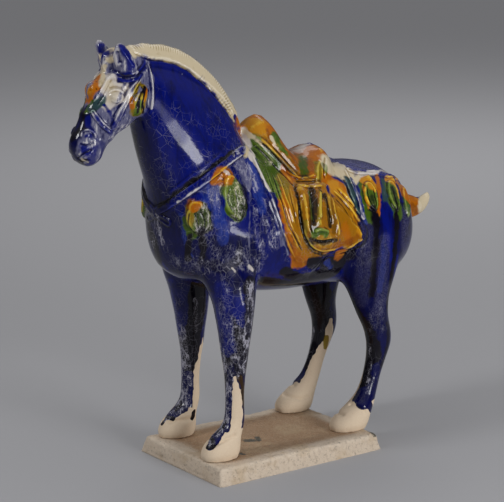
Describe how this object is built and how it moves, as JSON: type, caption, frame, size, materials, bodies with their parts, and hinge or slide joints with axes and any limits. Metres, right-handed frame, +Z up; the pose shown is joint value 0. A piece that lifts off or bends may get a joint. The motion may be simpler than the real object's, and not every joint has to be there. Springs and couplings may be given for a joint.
{
  "type": "horse figure",
  "caption": "Glazed earthenware horse in the Tang tomb style, saddled and harnessed, standing four-square on a plain clay slab.",
  "frame": {"origin": "centre of the slab's underside", "axes": "+Z up, the horse looks along -Y, and its left side is +X"},
  "size_m": [0.1241, 0.3705, 0.3541],
  "materials": {
    "glaze": "glossy lead glaze, cobalt blue with amber, green and cream",
    "clay": "matt bare earthenware"
  },
  "bodies": {
    "root": {"horse": "glaze", "slab": "clay"}
  },
  "joints": []
}
